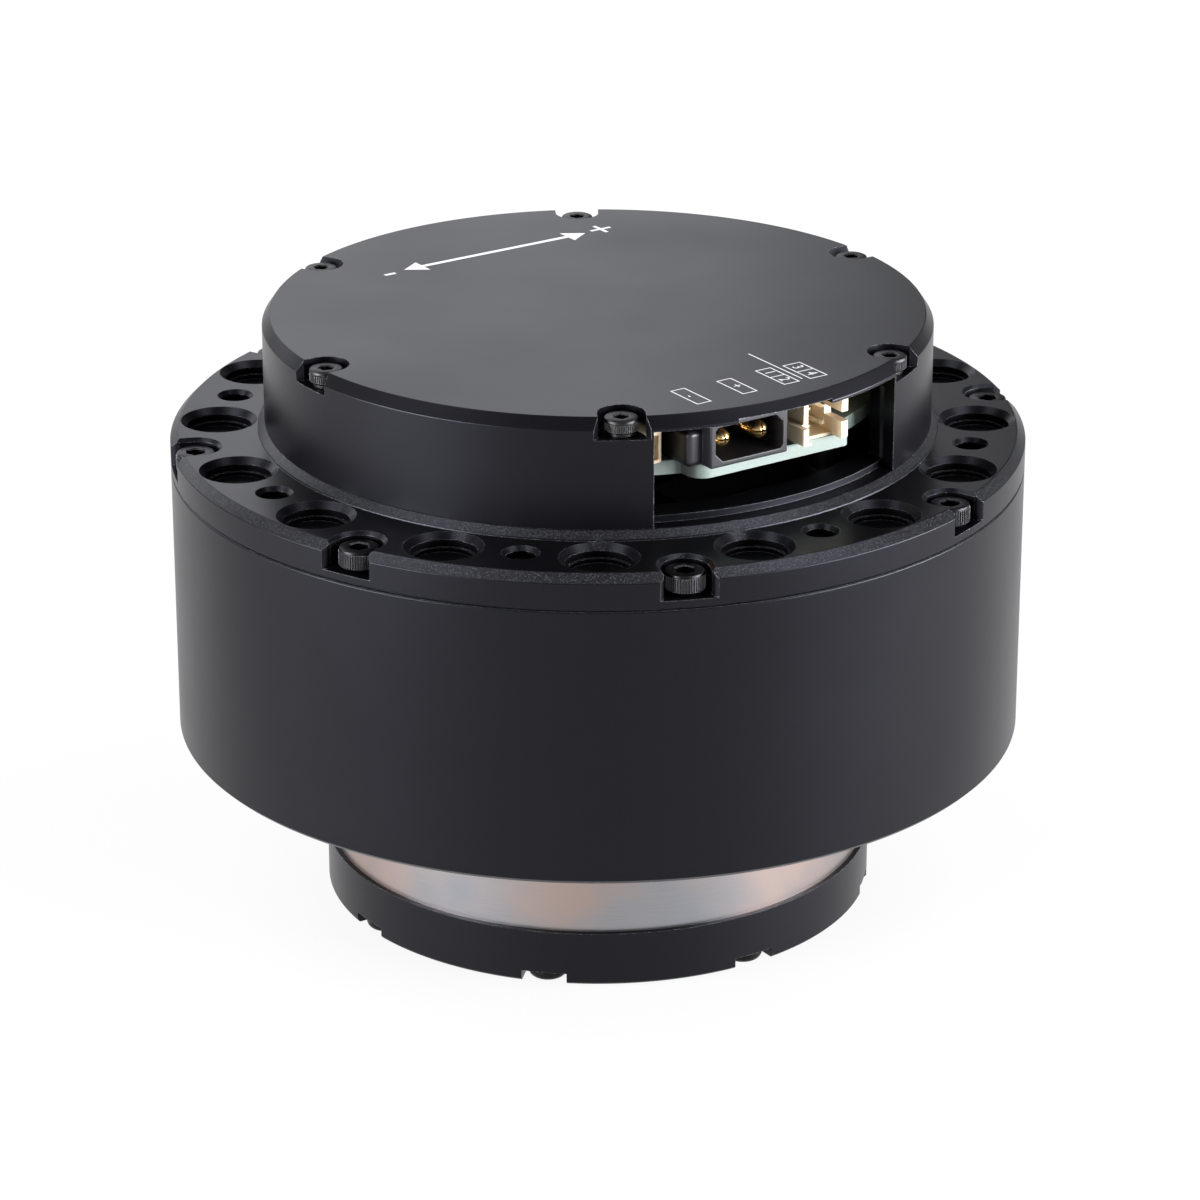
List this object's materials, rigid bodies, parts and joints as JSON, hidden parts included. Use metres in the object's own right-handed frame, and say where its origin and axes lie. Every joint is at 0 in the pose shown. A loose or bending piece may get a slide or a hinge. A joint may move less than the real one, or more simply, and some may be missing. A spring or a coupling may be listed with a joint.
{
  "type": "robot joint actuator",
  "caption": "Round robot joint actuator: an outrunner motor drives a two-stage planetary gearbox, with a bolt-on output disc in front and plugs in a rear cover window.",
  "frame": {"origin": "centre of the output disc's face, on the axis of rotation, where the part stands", "axes": "+Z along the axis of rotation from the output disc to the rear cover; -Y towards the connector window"},
  "size_m": [0.098, 0.098, 0.0706],
  "materials": {
    "black_anodised": "bead-blasted, black anodised",
    "bright_aluminium": "machined",
    "bronze": "sintered bronze",
    "chip_plastic": "moulded epoxy",
    "circuit_board": "glass-fibre laminate",
    "copper_wire": "enamelled copper",
    "electrical_steel": "laminated",
    "gold_plate": "gold-plated",
    "ground_steel": "ground and hardened",
    "magnet_nickel": "nickel-plated",
    "plug_black": "moulded nylon",
    "plug_cream": "moulded nylon",
    "screw_black": "black oxide",
    "screw_steel": "plain steel",
    "seal_rubber": "matte rubber",
    "turned_steel": "fine turned"
  },
  "bodies": {
    "housing": {"bearing_clip": "ground_steel", "board_chips": "chip_plastic", "board_screws": "screw_steel", "board_standoffs": "bright_aluminium", "cover_screws": "screw_steel", "driver_board": "circuit_board", "end_cap": "black_anodised", "end_cap_screws": "screw_black", "flange_screws": "screw_black", "heat_sink": "black_anodised", "housing_drum": "black_anodised", "output_bearing_outer_race": "ground_steel", "output_seal": "seal_rubber", "phase_leads": "copper_wire", "power_connector": "plug_black", "power_pins": "gold_plate", "rear_cover": "black_anodised", "rear_flange": "black_anodised", "ring_gear": "turned_steel", "ring_gear_screws": "screw_black", "rotor_bearing_outer_races": "ground_steel", "sensor_connector": "plug_cream", "sensor_pins": "ground_steel", "signal_connector": "plug_cream", "signal_pins": "ground_steel", "stator_core": "electrical_steel", "stator_windings": "copper_wire"},
    "output": {"output_carrier": "bright_aluminium", "output_planet_pins": "ground_steel", "output_bearing_inner_race": "ground_steel", "output_lock_ring": "ground_steel", "spindle_bush": "bronze"},
    "output_balls": {"output_bearing_balls": "ground_steel", "output_bearing_cage": "bronze"},
    "input_carrier": {"input_carrier": "ground_steel", "input_planet_pins": "ground_steel", "output_sun_gear": "ground_steel"},
    "rotor": {"rotor_shaft": "ground_steel", "rotor_bell": "ground_steel", "rotor_magnets": "magnet_nickel", "input_sun_gear": "ground_steel", "shaft_clip": "ground_steel", "encoder_magnet": "magnet_nickel", "rotor_bearing_inner_races": "ground_steel"},
    "rotor_balls": {"rotor_bearing_balls": "ground_steel", "rotor_bearing_cages": "bronze"},
    "output_planet_1": {"output_planet_1": "ground_steel", "output_bush_1": "bronze"},
    "input_planet_1": {"input_planet_1": "ground_steel", "input_bush_1": "bronze"},
    "output_planet_2": {"output_planet_2": "ground_steel", "output_bush_2": "bronze"},
    "input_planet_2": {"input_planet_2": "ground_steel", "input_bush_2": "bronze"},
    "output_planet_3": {"output_planet_3": "ground_steel", "output_bush_3": "bronze"},
    "input_planet_3": {"input_planet_3": "ground_steel", "input_bush_3": "bronze"}
  },
  "joints": [
    {"name": "rotor_turn", "type": "hinge", "parent": "housing", "child": "rotor", "pos_m": [0, 0, 0.0425], "axis": [0, 0, 1], "continuous": true},
    {"name": "output_turn", "type": "hinge", "parent": "housing", "child": "output", "pos_m": [0, 0, 0], "axis": [0, 0, 1], "continuous": true},
    {"name": "input_carrier_turn", "type": "hinge", "parent": "housing", "child": "input_carrier", "pos_m": [0, 0, 0.0188], "axis": [0, 0, 1], "continuous": true},
    {"name": "output_balls_turn", "type": "hinge", "parent": "housing", "child": "output_balls", "pos_m": [0, 0, 0.0054], "axis": [0, 0, 1], "continuous": true},
    {"name": "rotor_balls_turn", "type": "hinge", "parent": "housing", "child": "rotor_balls", "pos_m": [0, 0, 0.0425], "axis": [0, 0, 1], "continuous": true},
    {"name": "output_planet_1_spin", "type": "hinge", "parent": "output", "child": "output_planet_1", "pos_m": [0.0144, 0, 0.01335], "axis": [0, 0, 1], "continuous": true},
    {"name": "output_planet_2_spin", "type": "hinge", "parent": "output", "child": "output_planet_2", "pos_m": [-0.0072, 0.01247, 0.01335], "axis": [0, 0, 1], "continuous": true},
    {"name": "output_planet_3_spin", "type": "hinge", "parent": "output", "child": "output_planet_3", "pos_m": [-0.0072, -0.01247, 0.01335], "axis": [0, 0, 1], "continuous": true},
    {"name": "input_planet_1_spin", "type": "hinge", "parent": "input_carrier", "child": "input_planet_1", "pos_m": [0.0144, 0, 0.0238], "axis": [0, 0, 1], "continuous": true},
    {"name": "input_planet_2_spin", "type": "hinge", "parent": "input_carrier", "child": "input_planet_2", "pos_m": [-0.0072, 0.01247, 0.0238], "axis": [0, 0, 1], "continuous": true},
    {"name": "input_planet_3_spin", "type": "hinge", "parent": "input_carrier", "child": "input_planet_3", "pos_m": [-0.0072, -0.01247, 0.0238], "axis": [0, 0, 1], "continuous": true}
  ],
  "couplings": [
    {"joint": "output_turn", "follows": "rotor_turn", "ratio": 0.027778},
    {"joint": "input_carrier_turn", "follows": "rotor_turn", "ratio": 0.16667},
    {"joint": "output_balls_turn", "follows": "rotor_turn", "ratio": 0.012832},
    {"joint": "rotor_balls_turn", "follows": "rotor_turn", "ratio": 0.42821},
    {"joint": "output_planet_1_spin", "follows": "rotor_turn", "ratio": -0.069444},
    {"joint": "output_planet_2_spin", "follows": "rotor_turn", "ratio": -0.069444},
    {"joint": "output_planet_3_spin", "follows": "rotor_turn", "ratio": -0.069444},
    {"joint": "input_planet_1_spin", "follows": "rotor_turn", "ratio": -0.41667},
    {"joint": "input_planet_2_spin", "follows": "rotor_turn", "ratio": -0.41667},
    {"joint": "input_planet_3_spin", "follows": "rotor_turn", "ratio": -0.41667}
  ]
}
